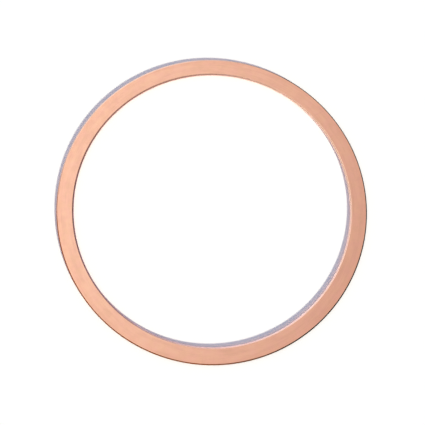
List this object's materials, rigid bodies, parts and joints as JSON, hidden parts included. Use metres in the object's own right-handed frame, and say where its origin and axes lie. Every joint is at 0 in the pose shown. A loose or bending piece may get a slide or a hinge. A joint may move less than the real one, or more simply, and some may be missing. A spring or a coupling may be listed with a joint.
{
  "type": "copper gasket",
  "caption": "Flat round copper sealing ring with a wide open bore and chamfered edges, for a knife-edge vacuum flange.",
  "frame": {"origin": "middle of the ring's underside, on the bore's axis, at the level of the surface it lies on", "axes": "+Z along the bore's axis, up through the upper face; X and Y are any two radii at right angles, because the ring is round"},
  "size_m": [0.1712, 0.1712, 0.002],
  "materials": {
    "copper": "satin"
  },
  "bodies": {
    "root": {"gasket_ring": "copper"}
  },
  "joints": []
}
